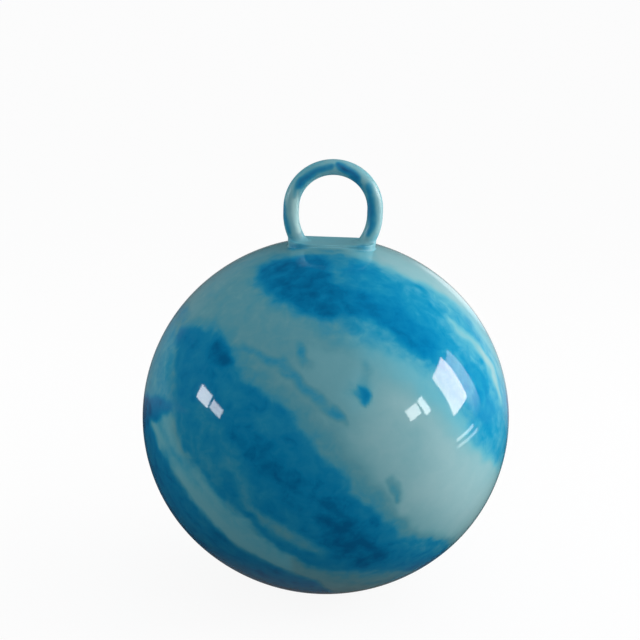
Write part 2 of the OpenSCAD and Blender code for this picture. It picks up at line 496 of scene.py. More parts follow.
# Marbling: areas and strokes of pigment, laid one over the other, with painted light and shade among them
# Each has a tone from 0, pale aqua, to 1, deep blue, a strength, and a softness in pixels of the photograph.
# An area has its outline in pixels; outside the ball's outline it goes on round the ball.
# A stroke's path has pixels with half a width; a fourth value of -1 puts it on the far side.
PALE_START = 0.20
HANDLE_START = 0.17

FAR_STROKES = [
    (0.50, 0.90, 16, [(166, 335, 10), (196, 300, 24, -1), (236, 304, 34, -1), (284, 334, 40, -1),
        (324, 376, 40, -1), (352, 424, 40, -1), (384, 474, 34, -1), (424, 512, 26, -1), (448, 552, 10)]),
    (0.86, 0.95, 10, [(180, 322, 8), (200, 306, 14, -1), (238, 312, 20, -1), (280, 342, 26, -1),
        (316, 384, 26, -1), (346, 430, 24, -1), (382, 478, 20, -1), (424, 516, 14, -1), (448, 554, 6)]),
    (0.48, 0.90, 14, [(500, 440, 10), (476, 446, 22, -1), (428, 424, 28, -1), (388, 372, 30, -1),
        (346, 318, 28, -1), (304, 282, 22, -1), (262, 268, 10)]),
    (0.80, 0.90, 10, [(500, 430, 8), (470, 436, 12, -1), (430, 410, 14, -1), (394, 362, 15, -1),
        (352, 312, 14, -1), (310, 280, 10, -1), (276, 266, 6)]),
    (0.75, 0.90, 14, [(166, 466, 12), (176, 480, 20, -1), (226, 500, 24, -1), (276, 536, 22, -1),
        (330, 562, 14, -1)]),
    (0.12, 0.80, 7, [(186, 430, 5, -1), (226, 446, 8, -1), (262, 478, 8, -1), (306, 520, 7, -1)]),
    (0.34, 0.80, 7, [(446, 330, 4, -1), (430, 300, 6, -1), (396, 276, 6, -1)]),
]
PALE_AREAS_WITH_PAINTED_SHADE = [
    # A duller, bluer wash over the upper left: partly pigment, partly the bluer, dimmer light of the shaded
    # side painted into the colour.
    (0.29, 0.90, 30, [(190, 280), (250, 250), (300, 320), (290, 370), (240, 360), (200, 320)]),
    (0.01, 0.97, 45, [(386, 376), (420, 380), (500, 480), (470, 545), (400, 510), (366, 440)]),
    (0.10, 0.85, 18, [(390, 416), (424, 424), (432, 468), (408, 486), (386, 460)]),
    (0.24, 0.85, 20, [(350, 330), (400, 345), (440, 375), (470, 424), (486, 452), (464, 442), (436, 414),
        (410, 392), (370, 360)]),
    (0.36, 0.75, 12, [(286, 306), (320, 318), (352, 330), (388, 346), (362, 350), (330, 346), (300, 334)]),
    (0.32, 0.70, 10, [(236, 350), (275, 372), (312, 402), (340, 440), (372, 480), (400, 510), (372, 500),
        (338, 468), (306, 436), (276, 404), (244, 376)]),
]
PALE_STROKES = [
    (0.55, 0.85, 4, [(240, 347, 3), (262, 357, 4), (282, 366, 6), (299, 378, 5), (312, 392, 5),
        (325, 405, 5), (335, 415, 4), (343, 425, 2)]),
    (0.58, 0.85, 4, [(299, 344, 3), (301, 352, 5), (304, 359, 2)]),
    (0.44, 0.60, 4, [(308, 361, 3), (312, 364, 2)]),
    (0.36, 0.75, 5, [(369, 362, 3), (369, 374, 4), (366, 384, 5)]),
    (0.32, 0.70, 4, [(352, 386, 3), (350, 394, 4)]),
    (0.42, 0.80, 4, [(388, 480, 3), (393, 488, 4), (398, 498, 3)]),
]
TOP_HAZE = [
    (0.34, 0.70, 10, [(232, 264, 5), (252, 257, 8), (272, 253, 8), (290, 252, 6)]),
]
# A darker tone along the crease where the saddle meets the ball: painted shade in the crease, with some
# marbling along the saddle's edge.
CREASE_SHADE_AND_MARBLING = [
    (0.72, 0.85, 3, [(290, 245, 2), (305, 247, 2), (325, 248, 2), (345, 248, 1), (366, 247, 1)]),
]
UPPER_AREAS = [
    (0.48, 0.95, 12, [(252, 276), (258, 264), (272, 255), (295, 251), (325, 251), (352, 254), (374, 259),
        (398, 271), (424, 286), (448, 301), (470, 322), (487, 350), (499, 378), (512, 398), (540, 410),
        (545, 450), (520, 475), (498, 467), (486, 454), (475, 442), (467, 424), (453, 400), (436, 379),
        (418, 363), (398, 352), (372, 339), (348, 331), (325, 325), (300, 317), (278, 304), (262, 293),
        (253, 285)]),
    (0.58, 0.90, 8, [(376, 266), (396, 276), (416, 290), (434, 308), (450, 332), (466, 354), (482, 376),
        (494, 402), (498, 430), (488, 440), (479, 424), (466, 394), (442, 366), (420, 340), (396, 312),
        (378, 290)]),
    (0.68, 0.90, 6, [(322, 253), (346, 254), (368, 259), (388, 272), (405, 288), (420, 304), (434, 323),
        (446, 342), (440, 350), (420, 328), (400, 308), (370, 295), (342, 287), (328, 272)]),
    (0.88, 0.97, 7, [(255, 276), (259, 266), (270, 258), (290, 255), (310, 252), (325, 254), (331, 266),
        (335, 281), (348, 286), (370, 292), (390, 298), (403, 305), (415, 317), (428, 332), (440, 345),
        (441, 353), (433, 359), (423, 355), (409, 343), (397, 335), (388, 327), (378, 319), (362, 314),
        (345, 317), (328, 318), (312, 316), (300, 312), (288, 304), (275, 297), (263, 290), (256, 284)]),
    (0.94, 0.85, 9, [(270, 263), (300, 258), (322, 260), (330, 276), (337, 292), (342, 308), (330, 313),
        (312, 308), (296, 298), (282, 288), (270, 276)]),
    (0.80, 0.80, 12, [(388, 304), (410, 316), (430, 336), (440, 352), (424, 352), (404, 334), (386, 318)]),
    (0.62, 0.75, 4, [(338, 318), (350, 317), (362, 320), (358, 330), (350, 333), (343, 327)]),
    (0.66, 0.90, 5, [(463, 354), (474, 363), (484, 380), (491, 400), (494, 414), (490, 426), (483, 426),
        (477, 418), (475, 406), (474, 392), (468, 378), (461, 364)]),
    (0.03, 0.90, 9, [(366, 240), (392, 242), (440, 262), (470, 285), (478, 300), (472, 306), (464, 306),
        (455, 301), (440, 292), (420, 280), (400, 269), (382, 261), (370, 252)]),
    (0.92, 0.85, 5, [(506, 401), (513, 394), (528, 404), (545, 430), (536, 452), (518, 446), (508, 438)]),
]
UPPER_STROKES = [
    (0.38, 0.60, 6, [(430, 290, 4), (448, 305, 7), (464, 320, 6)]),
    (0.36, 0.80, 6, [(452, 322, 3), (462, 334, 6), (470, 347, 7), (475, 356, 4)]),
    (0.68, 0.55, 3, [(412, 282, 2), (424, 290, 3), (432, 302, 3), (437, 318, 3), (442, 334, 2)]),
    (0.66, 0.80, 3, [(474, 358, 3), (480, 362, 3)]),
    (0.08, 0.90, 3, [(450, 319, 2), (460, 329, 2), (468, 337, 3), (476, 346, 4), (484, 355, 4)]),
    (0.30, 0.60, 2, [(478, 352, 1), (484, 362, 1), (488, 374, 2)]),
    (0.00, 0.92, 3, [(481, 352, 3), (487, 362, 4), (493, 374, 4), (498, 388, 3), (502, 400, 2)]),
    (0.42, 0.85, 3, [(482, 340, 2), (490, 350, 3), (496, 361, 3), (501, 373, 2), (505, 388, 2)]),
]
DROP_AREAS = [
    (0.76, 0.95, 4, [(360, 386), (367, 387), (370, 395), (365, 406), (360, 403), (355, 395)]),
]
WIDE_AREAS = [
    (0.44, 0.90, 11, [(168, 318), (185, 314), (212, 320), (234, 336), (243, 358), (258, 372), (272, 388),
        (290, 396), (302, 412), (310, 428), (322, 440), (334, 452), (347, 464), (358, 480), (370, 492),
        (386, 504), (400, 517), (410, 531), (440, 536), (452, 543), (468, 558), (440, 575), (400, 585),
        (330, 582), (280, 560), (240, 530), (210, 500), (184, 470), (165, 440), (155, 400), (160, 350)]),
    (0.82, 0.95, 5, [(176, 333), (181, 324), (200, 328), (221, 338), (228, 351), (234, 364), (240, 378),
        (253, 384), (259, 394), (271, 400), (285, 406), (293, 417), (299, 430), (309, 442), (319, 452),
        (327, 460), (337, 469), (344, 481), (351, 494), (361, 502), (373, 509), (383, 518), (392, 526),
        (398, 535), (413, 538), (432, 539), (445, 544), (456, 556), (446, 562), (425, 572), (405, 574),
        (385, 573), (355, 573), (330, 571), (310, 567), (295, 559), (278, 549), (262, 537), (248, 523),
        (238, 511), (228, 500), (214, 490), (203, 478), (192, 464), (182, 445), (178, 425), (175, 405),
        (175, 385), (175, 357)]),
    (0.84, 0.80, 5, [(181, 330), (196, 328), (201, 336), (198, 346), (184, 346)]),
    (1.00, 0.85, 6, [(202, 350), (211, 344), (221, 345), (227, 354), (230, 365), (222, 370), (212, 367),
        (204, 361)]),
    (0.90, 0.70, 12, [(222, 424), (250, 428), (280, 450), (260, 470), (246, 456), (228, 440)]),
    (0.92, 0.75, 12, [(252, 462), (290, 466), (322, 480), (342, 500), (352, 520), (320, 524), (296, 508),
        (270, 492)]),
    (1.00, 0.90, 12, [(322, 516), (350, 520), (366, 534), (384, 544), (390, 554), (380, 564), (356, 568),
        (342, 556), (330, 540)]),
    (0.70, 0.70, 7, [(221, 378), (236, 380), (242, 396), (234, 408), (224, 400)]),
    (0.70, 0.70, 6, [(254, 418), (268, 418), (272, 428), (264, 433), (254, 428)]),
    (0.64, 0.70, 10, [(176, 406), (206, 404), (222, 424), (226, 452), (232, 480), (224, 496), (206, 484),
        (190, 462), (182, 440)]),
    (0.58, 0.75, 6, [(406, 541), (430, 542), (447, 545), (444, 552), (424, 553), (410, 550)]),
]
LEFT_AREAS = [
    (0.41, 0.85, 7, [(172, 304), (140, 302), (96, 328), (50, 362), (84, 384), (120, 396), (152, 398),
        (164, 394), (170, 375), (173, 350), (175, 332), (186, 316)]),
    (0.88, 0.92, 7, [(92, 418), (126, 425), (150, 422), (157, 440), (166, 462), (180, 484), (196, 506),
        (214, 528), (236, 548), (262, 562), (290, 574), (318, 584), (350, 618), (286, 634), (214, 628),
        (136, 572), (110, 506), (52, 470), (24, 432)]),
    (0.86, 0.92, 6, [(70, 388), (104, 390), (138, 397), (160, 396), (174, 404), (166, 413), (158, 418),
        (140, 422), (100, 412)]),
    (1.00, 0.90, 5, [(40, 392), (92, 398), (124, 394), (148, 396), (152, 410), (149, 426), (124, 432),
        (84, 416)]),
    (0.22, 0.85, 4, [(164, 413), (170, 411), (177, 425), (180, 442), (188, 458), (184, 462), (176, 452),
        (169, 440), (165, 425)]),
]
LEFT_STROKES = [
    (0.52, 0.75, 6, [(222, 444, 3), (236, 462, 7), (242, 482, 6), (250, 504, 6), (264, 519, 6),
        (282, 531, 7), (302, 542, 6), (322, 552, 3)]),
    (0.34, 0.75, 5, [(250, 508, 3), (264, 519, 5), (282, 531, 6), (302, 542, 5), (316, 549, 3)]),
    (0.56, 0.60, 5, [(205, 462, 4), (212, 474, 4)]),
    (0.32, 0.75, 4, [(186, 460, 3), (192, 470, 5), (196, 478, 5)]),
    (0.24, 0.88, 5, [(197, 475, 3), (204, 487, 5), (213, 501, 5), (226, 517, 6), (243, 533, 7),
        (264, 549, 8), (288, 563, 7), (310, 574, 4), (340, 583, 4), (378, 582, 4), (404, 578, 3)]),
]
RING_BASE = [
    (0.14, 1.00, 6, [(290, 230, 12), (284, 205, 12), (296, 178, 12), (320, 164, 12), (346, 164, 12),
        (370, 180, 12), (381, 205, 12), (374, 230, 12)]),
]
# Strokes on the ring's front: marbling, with painted highlights, a painted reflection and painted shade among
# them.
RING_FRONT_MARBLING_AND_PAINTED_LIGHT = [
    # Painted shade: the ring's outer rim at the upper left, turned from the light.
    (0.30, 0.80, 3, [(286, 192, 3), (294, 178, 4), (306, 168, 4), (320, 162, 3)]),
    (0.86, 0.95, 3, [(296, 196, 1), (299, 187, 3), (304, 180, 3), (312, 174, 3), (321, 169, 2),
        (331, 166, 2)]),
    (0.98, 0.97, 3, [(338, 164, 2), (344, 168, 3), (351, 173, 3), (357, 178, 3)]),
    (0.80, 0.85, 3, [(352, 178, 2), (359, 184, 2), (364, 191, 2)]),
    (0.80, 0.90, 3, [(368, 186, 2), (370, 193, 3), (370, 204, 4), (371, 216, 4), (371, 226, 3),
        (369, 233, 2)]),
    # Painted reflection: a paler blue streak inside the right leg.
    (0.50, 0.75, 2, [(367, 198, 1), (367, 206, 2), (366, 215, 1)]),
    # Painted highlight: the right window's reflection down the right leg's outer side.
    (0.05, 0.90, 3, [(373, 178, 3), (378, 190, 3), (381, 205, 3), (381, 220, 3), (378, 232, 3)]),
    (0.84, 0.90, 3, [(284, 203, 2), (285, 214, 2), (287, 225, 2), (289, 232, 2)]),
    # Painted highlight: the right window's reflection down the left leg's inner side.
    (0.00, 0.95, 3, [(298, 192, 2), (296, 205, 5), (297, 218, 5), (300, 230, 3)]),
    # Painted shade where the left leg meets the saddle.
    (0.40, 0.80, 3, [(289, 236, 3), (294, 241, 4)]),
]
RING_REAR = [
    (0.60, 0.80, 5, [(290, 220, 5), (288, 204, 6), (292, 190, 5)]),
    (0.90, 0.90, 4, [(310, 172, 4), (322, 166, 5), (336, 165, 5), (350, 170, 4)]),
    (0.75, 0.85, 4, [(372, 196, 4), (376, 210, 5), (373, 224, 4)]),
]
# Where the middle tones are a bright cyan, as areas
CYAN_AREAS = [
    (1.00, 1.00, 22, [(352, 240), (420, 250), (500, 320), (540, 400), (540, 480), (490, 480), (452, 440),
        (420, 404), (384, 366), (352, 338), (350, 290)]),
    (0.60, 1.00, 14, [(360, 374), (374, 384), (372, 406), (356, 410), (348, 396)]),
    (0.80, 1.00, 7, [(176, 455), (196, 468), (225, 500), (250, 528), (290, 556), (290, 572), (250, 556),
        (215, 530), (190, 500), (174, 470)]),
    (0.90, 1.00, 10, [(120, 330), (172, 306), (176, 340), (168, 396), (176, 440), (202, 490), (186, 484),
        (156, 446), (120, 410)]),
]
# Swirls that bend the edges: size and reach in pixels, and a seed
SWIRLS = [(46.0, 3.0, 11), (18.0, 3.5, 23), (8.0, 2.2, 37)]
HANDLE_SWIRLS = [(9.0, 1.3, 37)]
HANDLE_CYAN = 0.8
RING_PROBES = 81
# A stroke seen at a slant is widened this much at most; past the ball's outline it ends this near to it
MOST_SLANT = 4.0
LIMB_SHARE = 0.995
# How far past its edge a stroke or an area is looked for, in pixels
STROKE_SPARE = 60.0
AREA_SPARE = 120.0
FAR_AWAY = 1e9
TINY = 1e-9
# Large odd numbers that scramble a cell's place and a seed into a key
CELL_SCRAMBLE = (374761393, 668265263, 1440662683)
SEED_SCRAMBLE = 974634777
KEY_SCRAMBLE = 1274126177
KEY_SHIFTS = (13, 16)
KEY_BITS = 0xFFFFFFFF
LOW_BITS = 0xFFFF


def lattice(cell, seed):
    """A fixed number from -1 to 1 for each cell of a grid."""
    first, second = KEY_SHIFTS
    key = (cell @ np.array(CELL_SCRAMBLE) + seed * SEED_SCRAMBLE) & KEY_BITS
    key = ((key ^ (key >> first)) * KEY_SCRAMBLE) & KEY_BITS
    return ((key ^ (key >> second)) & LOW_BITS) / (LOW_BITS / 2) - 1.0


def noise(p, seed):
    """Smooth noise from -1 to 1 at rows of points."""
    base = np.floor(p).astype(np.int64)
    f = p - base
    f = f * f * f * (f * (f * 6 - 15) + 10)
    total = np.zeros(len(p))
    for corner in CELL:
        weight = np.prod(np.where(corner, f, 1 - f), axis=1)
        total += weight * lattice(base + np.array(corner), seed)
    return total


def swirled(p, swirls):
    """Points carried along by swirls of several sizes."""
    moved = p.copy()
    for size, reach, seed in swirls:
        moved += reach * np.stack([noise(p / size, seed + k) for k in range(3)], axis=1)
    return moved


def smooth(x):
    """A soft step from 0 to 1."""
    x = np.clip(x, 0, 1)
    return x * x * (3 - 2 * x)


def in_pixels(p):
    """Points in pixel lengths from the ball's centre."""
    return (p - BALL_CENTRE) / PIXEL


def past_centre(x, y):
    """A pixel's ray, and where it passes nearest to the ball's centre, seen from that centre."""
    ray = pixel_ray(x, y)
    along = (BALL_CENTRE - CAMERA) @ ray
    return ray, CAMERA + along * ray - BALL_CENTRE


def on_ball(x, y, side=1):
    """Where a pixel meets the ball, on its near or far side, and the surface's direction there."""
    ray, nearest = past_centre(x, y)
    miss = np.linalg.norm(nearest)
    most = LIMB_SHARE * BALL_R
    if miss > most:
        nearest *= most / miss
        miss = most
    point = nearest - side * math.sqrt(BALL_R ** 2 - miss ** 2) * ray
    return point / PIXEL, point / BALL_R


def on_ring_front(x, y):
    """Where a pixel of the photograph meets the ring's tube, or passes nearest to it."""
    ray = pixel_ray(x, y)
    start = CAMERA - ray * (CAMERA[1] + 2 * TUBE_R) / ray[1]
    along = start + np.linspace(0, 4 * TUBE_R, RING_PROBES)[:, None] * ray
    gaps = ring_distance(along)
    hit = np.argmax(gaps < 0) if gaps.min() < 0 else np.argmin(gaps)
    return in_pixels(along[hit]), None


def on_ring_rear(x, y):
    """The place behind the one where a pixel meets the ring's tube."""
    point, _ = on_ring_front(x, y)
    return point * (1, -1, 1), None


def catmull_rom(points, steps=6):
    """A smooth run through rows of values."""
    ends = np.vstack([2 * points[0] - points[1], points, 2 * points[-1] - points[-2]])
    run = []
    for a, b, c, d in zip(ends, ends[1:], ends[2:], ends[3:]):
        for t in np.arange(steps) / steps:
            bend = (2 * a - 5 * b + 4 * c - d) * t * t + (3 * b - a - 3 * c + d) * t ** 3
            run.append(0.5 * (2 * b + (c - a) * t + bend))
    return np.array(run + [points[-1]])


def stroke_path(path, place):
    """A stroke's run in space: place, half width, and how much the surface's slant widens it."""
    placed = [place(x, y, *side) for x, y, _, *side in path]
    points = np.array([p for p, _ in placed])
    slants = np.ones(len(path))
    if placed[0][1] is not None:
        along = np.gradient(points, axis=0)
        across = unit(np.cross([n for _, n in placed], along))
        seen = np.sqrt(np.clip(1 - (across @ TO_CAMERA) ** 2, 0, 1))
        slants = 1 / np.maximum(seen, 1 / MOST_SLANT)
    widths = np.array([w for _, _, w, *_ in path]) * slants
    return catmull_rom(np.column_stack([points, widths, slants]))


def share_along(q, start, leg):
    """Where on a leg each point's nearest place lies, from 0 at its start to 1."""
    return np.clip((q - start) @ leg / max(leg @ leg, TINY), 0, 1)


def reach_of(p, run):
    """Distance of points from a stroke's edge, in pixels as the camera sees them."""
    spare = STROKE_SPARE * run[:, 4].max()
    low = (run[:, :3] - run[:, 3:4]).min(axis=0) - spare
    high = (run[:, :3] + run[:, 3:4]).max(axis=0) + spare
    near = np.all((p > low) & (p < high), axis=1)
    q = p[near]
    best = np.full(len(q), FAR_AWAY)
    for a, b in zip(run, run[1:]):
        leg = b[:3] - a[:3]
        t = share_along(q, a[:3], leg)
        width = a[3] + t * (b[3] - a[3])
        slant = a[4] + t * (b[4] - a[4])
        gap = (np.linalg.norm(q - a[:3] - t[:, None] * leg, axis=1) - width) / slant
        best = np.minimum(best, gap)
    reach = np.full(len(p), FAR_AWAY)
    reach[near] = best
    return reach


# The skin unrolled flat about the point nearest to the camera, in pixel lengths along the skin
UNROLL_RIGHT = unit(RIGHT - (RIGHT @ TO_CAMERA) * TO_CAMERA)
UNROLL_UP = np.cross(TO_CAMERA, UNROLL_RIGHT)
LIMB_TURN = math.acos(BALL_R / CAMERA_DISTANCE)


def unrolled(p):
    """Rows of points about the ball's centre, unrolled flat."""
    across = np.stack([p @ UNROLL_RIGHT, p @ UNROLL_UP], axis=1)
    aside = np.linalg.norm(across, axis=1)
    turn = np.arctan2(aside, p @ TO_CAMERA)
    return across * (turn * BALL_HALF_PX / np.maximum(aside, TINY))[:, None]


def unrolled_pixel(x, y):
    """A pixel on the unrolled skin; past the ball's outline it goes on round the ball."""
    ray, nearest = past_centre(x, y)
    miss = np.linalg.norm(nearest)
    if miss < BALL_R:
        return unrolled((nearest - math.sqrt(BALL_R ** 2 - miss ** 2) * ray)[None, :])[0]
    turn = LIMB_TURN + miss / BALL_R - 1
    aside = unit(np.array([nearest @ UNROLL_RIGHT, nearest @ UNROLL_UP]))
    return aside * turn * BALL_HALF_PX


def gap_to_outline(flat, outline):
    """Distance of unrolled points from an outline, below zero inside it."""
    corners = np.array([unrolled_pixel(x, y) for x, y in outline])
    low = corners.min(axis=0) - AREA_SPARE
    high = corners.max(axis=0) + AREA_SPARE
    near = np.all((flat > low) & (flat < high), axis=1)
    q = flat[near]
    best = np.full(len(q), AREA_SPARE)
    inside = np.zeros(len(q), bool)
    for a, b in zip(corners, np.roll(corners, -1, axis=0)):
        leg = b - a
        t = share_along(q, a, leg)
        best = np.minimum(best, np.linalg.norm(q - a - t[:, None] * leg, axis=1))
        if a[1] != b[1]:
            crosses = (a[1] > q[:, 1]) != (b[1] > q[:, 1])
            inside ^= crosses & (q[:, 0] < a[0] + (q[:, 1] - a[1]) * leg[0] / leg[1])
    gap = np.full(len(flat), AREA_SPARE)
    gap[near] = np.where(inside, -best, best)
    return gap


def cover_tone(tone, target, strength, softness, gap):
    """Draws a tone towards a target where the gap to an edge is small or below zero."""
    tone += (target - tone) * strength * smooth((softness - gap) / (2 * softness))


def lay_areas(tone, moved, areas):
    """Lays areas of pigment over the tone, one after the other."""
    flat = unrolled(moved)
    for target, strength, softness, outline in areas:
        cover_tone(tone, target, strength, softness, gap_to_outline(flat, outline))


def lay_strokes(tone, moved, strokes, place):
    """Lays strokes of pigment over the tone, each put in place by a function."""
    for target, strength, softness, path in strokes:
        cover_tone(tone, target, strength, softness, reach_of(moved, stroke_path(path, place)))


def keep_layer(piece, name, values):
    """Keeps a value for each corner of a mesh."""
    layer = piece.data.attributes.new(name, "FLOAT", "POINT")
    layer.data.foreach_set("value", values)


def paint_ball(piece):
    """Gives each corner of the ball's skin its tone of marbling, with painted shade along the saddle's crease
    and partly over the upper left, and how cyan its middle tones are.
    """
    moved = swirled(in_pixels(mesh_points(piece)), SWIRLS)
    tone = np.full(len(moved), PALE_START)
    lay_strokes(tone, moved, FAR_STROKES, on_ball)
    lay_areas(tone, moved, PALE_AREAS_WITH_PAINTED_SHADE)
    lay_strokes(tone, moved, TOP_HAZE + PALE_STROKES, on_ball)
    lay_areas(tone, moved, UPPER_AREAS)
    lay_strokes(tone, moved, UPPER_STROKES, on_ball)
    lay_areas(tone, moved, DROP_AREAS + WIDE_AREAS + LEFT_AREAS)
    lay_strokes(tone, moved, LEFT_STROKES + CREASE_SHADE_AND_MARBLING, on_ball)
    keep_layer(piece, "pigment_and_painted_light", tone)
    cyan = np.zeros(len(moved))
    lay_areas(cyan, moved, CYAN_AREAS)
    keep_layer(piece, "cyan", cyan)


def paint_handle(piece):
    """Gives each corner of the ring or the saddle its tone of marbling, with painted shade along the crease
    and painted highlights, a painted reflection and painted shade among the ring's strokes.
    """
    moved = swirled(in_pixels(mesh_points(piece)), HANDLE_SWIRLS)
    tone = np.full(len(moved), HANDLE_START)
    lay_strokes(tone, moved, TOP_HAZE + CREASE_SHADE_AND_MARBLING, on_ball)
    lay_strokes(tone, moved, RING_BASE + RING_FRONT_MARBLING_AND_PAINTED_LIGHT, on_ring_front)
    lay_strokes(tone, moved, RING_REAR, on_ring_rear)
    keep_layer(piece, "pigment_and_painted_light", tone)
    keep_layer(piece, "cyan", np.full(len(moved), HANDLE_CYAN))


# Materials

def linear(*rgb):
    """A shader colour from red, green and blue as a screen shows them, 0 to 255."""
    parts = [c / 255 for c in rgb]
    return tuple(c / 12.92 if c <= 0.04045 else ((c + 0.055) / 1.055) ** 2.4 for c in parts) + (1.0,)


def add(tree, kind, inputs=None, **settings):
    """A shader node with its settings and inputs; an input is a value or another node's output."""
    made = tree.nodes.new("ShaderNode" + kind)
    for name, value in settings.items():
        setattr(made, name, value)
    for name, value in (inputs or {}).items():
        if isinstance(value, bpy.types.NodeSocket):
            tree.links.new(value, made.inputs[name])
        else:
            made.inputs[name].default_value = value
    return made


def new_material(name):
    """An empty node material and its tree."""
    made = bpy.data.materials.new(name)
    made.use_nodes = True
    made.node_tree.nodes.clear()
    return made, made.node_tree


def math_node(tree, operation, a, b):
    return add(tree, "Math", {0: a, 1: b}, operation=operation).outputs[0]


def vector_node(tree, operation, *inputs):
    """The outputs of a calculation with vectors."""
    return add(tree, "VectorMath", dict(enumerate(inputs)), operation=operation).outputs


def noise_node(tree, place, scale, detail, roughness=0.5, distortion=0.0):
    """Cloudy noise over the surface, from 0 to 1."""
    inputs = {"Vector": place, "Scale": scale, "Detail": detail}
    inputs.update({"Roughness": roughness, "Distortion": distortion})
    return add(tree, "TexNoise", inputs).outputs["Fac"]


def remap(tree, value, low, high, span=(0.0, 1.0), kind="LINEAR"):
    """A value taken from a span to the range from low to high."""
    inputs = {"Value": value, "From Min": span[0], "From Max": span[1], "To Min": low, "To Max": high}
    return add(tree, "MapRange", inputs, interpolation_type=kind).outputs["Result"]


def ease(tree, value, span, low, high):
    """A value taken softly from a span to the range from low to high."""
    return remap(tree, value, low, high, span, "SMOOTHSTEP")


def relief(tree, height, strength, distance, **below):
    """A bumped surface; Normal names another one under it."""
    inputs = {"Height": height, "Strength": strength, "Distance": distance, **below}
    return add(tree, "Bump", inputs).outputs["Normal"]


PLASTIC_IOR = 1.5


def end_in_plastic(tree, colour, gloss, surface):
    """Ends a material's tree in a plastic shader."""
    shader = add(tree, "BsdfPrincipled", {
        "Base Color": colour, "Roughness": gloss, "IOR": PLASTIC_IOR, "Normal": surface})
    add(tree, "OutputMaterial", {"Surface": shader.outputs["BSDF"]})


# Colours of the pigment from the pale plastic to the deepest blue, with plain teal or bright cyan between
PIGMENT_STOPS = [
    (0.00, (158, 199, 203), (158, 199, 203)),
    (0.10, (134, 186, 193), (136, 193, 201)),
    (0.18, (115, 175, 185), (117, 190, 204)),
    (0.26, (100, 164, 177), (99, 183, 202)),
    (0.36, (82, 159, 178), (77, 172, 199)),
    (0.46, (66, 155, 183), (54, 162, 197)),
    (0.58, (47, 149, 183), (29, 153, 194)),
    (0.70, (28, 142, 183), (13, 143, 191)),
    (0.84, (6, 131, 180), (2, 130, 183)),
    (0.93, (0, 115, 165), (0, 117, 169)),
    (1.00, (0, 101, 150), (0, 102, 152)),
]
TEAL_RUN = 0
CYAN_RUN = 1


def pigment_ramp(tree, tone, run, palest_or_painted_highlight):
    """A colour for each tone, from one of the two runs of colours, with its own lightest colour, which on the
    handle is a painted highlight.
    """
    ramp = add(tree, "ValToRGB", {"Fac": tone})
    stops = ramp.color_ramp.elements
    for position, *_ in PIGMENT_STOPS[1:-1]:
        stops.new(position)
    for stop, (_, *colours) in zip(stops, PIGMENT_STOPS):
        stop.color = linear(*colours[run])
    stops[0].color = palest_or_painted_highlight
    return ramp.outputs["Color"]


# Unevenness of the marbling: its noises, by scale, detail, roughness and distortion, and their reach in tone
MOTTLE_NOISE = (60.0, 3.0, 0.55, 0.4)
MOTTLE_REACH = 1.0
STREAK_NOISE = (66.0, 2.0, 0.5, 0.5)
STREAK_REACH = 0.35
STREAK_TURN = (0.0, math.radians(40), 0.0)
STREAK_STRETCH = (0.35, 1.0, 1.0)
# It grows over one span of tones and fades over another: the share before, the share after, and the span
UNEVEN_GROWS = (0.03, 0.34, (0.20, 0.50))
UNEVEN_FADES = (1.0, 0.55, (0.60, 0.90))
# Gloss and relief of the skin: noises, and each relief's strength and height
GLOSS_NOISE = (30.0, 3.0)
WAVE_NOISE = (24.0, 2.0)
WAVE_RELIEF = (0.05, 0.0015)
PEEL_NOISE = (700.0, 2.0)
PEEL_RELIEF = (0.05, 0.0001)


def marbled_plastic(name, palest_or_painted_highlight, smoothest, roughest):
    """Glossy soft plastic, its colour from the painted tone of marbling and, in places, painted light and
    shade, with fine streaks and mottling.
    """
    made, tree = new_material(name)
    place = add(tree, "TexCoord").outputs["Object"]
    tone = add(tree, "Attribute", attribute_name="pigment_and_painted_light").outputs["Fac"]
    mottle = remap(tree, noise_node(tree, place, *MOTTLE_NOISE), -MOTTLE_REACH, MOTTLE_REACH)
    drawn = add(tree, "Mapping", {"Vector": place, "Rotation": STREAK_TURN, "Scale": STREAK_STRETCH})
    streaks = noise_node(tree, drawn.outputs["Vector"], *STREAK_NOISE)
    streaks = remap(tree, streaks, -STREAK_REACH, STREAK_REACH)
    grows = remap(tree, tone, *UNEVEN_GROWS)
    fades = remap(tree, tone, *UNEVEN_FADES)
    share = math_node(tree, "MULTIPLY", grows, fades)
    uneven = math_node(tree, "MULTIPLY", math_node(tree, "ADD", mottle, streaks), share)
    total = math_node(tree, "ADD", tone, uneven)
    cyan = add(tree, "Attribute", attribute_name="cyan").outputs["Fac"]
    colour = add(tree, "Mix", {
        "Factor": cyan,
        "A": pigment_ramp(tree, total, TEAL_RUN, palest_or_painted_highlight),
        "B": pigment_ramp(tree, total, CYAN_RUN, palest_or_painted_highlight)}, data_type="RGBA")
    gloss = remap(tree, noise_node(tree, place, *GLOSS_NOISE), smoothest, roughest)
    waves = relief(tree, noise_node(tree, place, *WAVE_NOISE), *WAVE_RELIEF)
    peel = relief(tree, noise_node(tree, place, *PEEL_NOISE), *PEEL_RELIEF, Normal=waves)
    end_in_plastic(tree, colour.outputs["Result"], gloss, peel)
    return made


# Plain moulded plastic: the noises of its colour, gloss and grain, and their reach
CLOUD_NOISE = (160.0, 4.0, 0.6)
CLOUD_STOPS = (0.3, 0.7)
DULL_NOISE = (420.0, 3.0)
DULL_REACH = 0.06
GRAIN_NOISE = (2600.0, 3.0)
GRAIN_RELIEF = (0.25, 0.00005)


